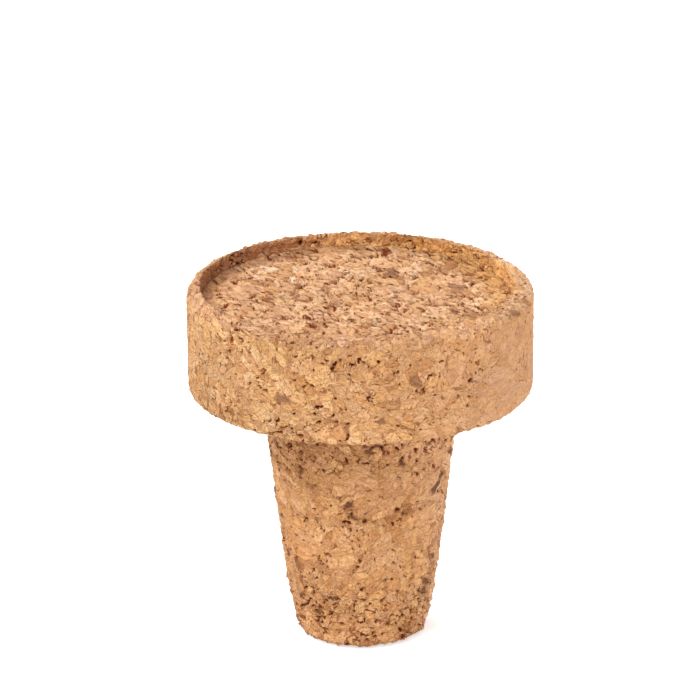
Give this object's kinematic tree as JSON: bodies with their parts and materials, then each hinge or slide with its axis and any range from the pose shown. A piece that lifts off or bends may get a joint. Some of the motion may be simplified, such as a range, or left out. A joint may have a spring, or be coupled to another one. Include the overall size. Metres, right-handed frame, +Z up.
{
  "type": "cork stopper",
  "caption": "Turned stopper of pressed cork granules: a wide head with a shallow dish in its top, over a tapered plug that wedges into a bottle mouth.",
  "frame": {"origin": "middle of the flat end that the plug stands on", "axes": "+Z up along the turning axis, from the plug's end to the head; the part is round, so X and Y are free"},
  "size_m": [0.038, 0.038, 0.041],
  "materials": {
    "cork": "matte pressed cork granules, sanded and left bare"
  },
  "bodies": {
    "root": {"stopper": "cork"}
  },
  "joints": []
}
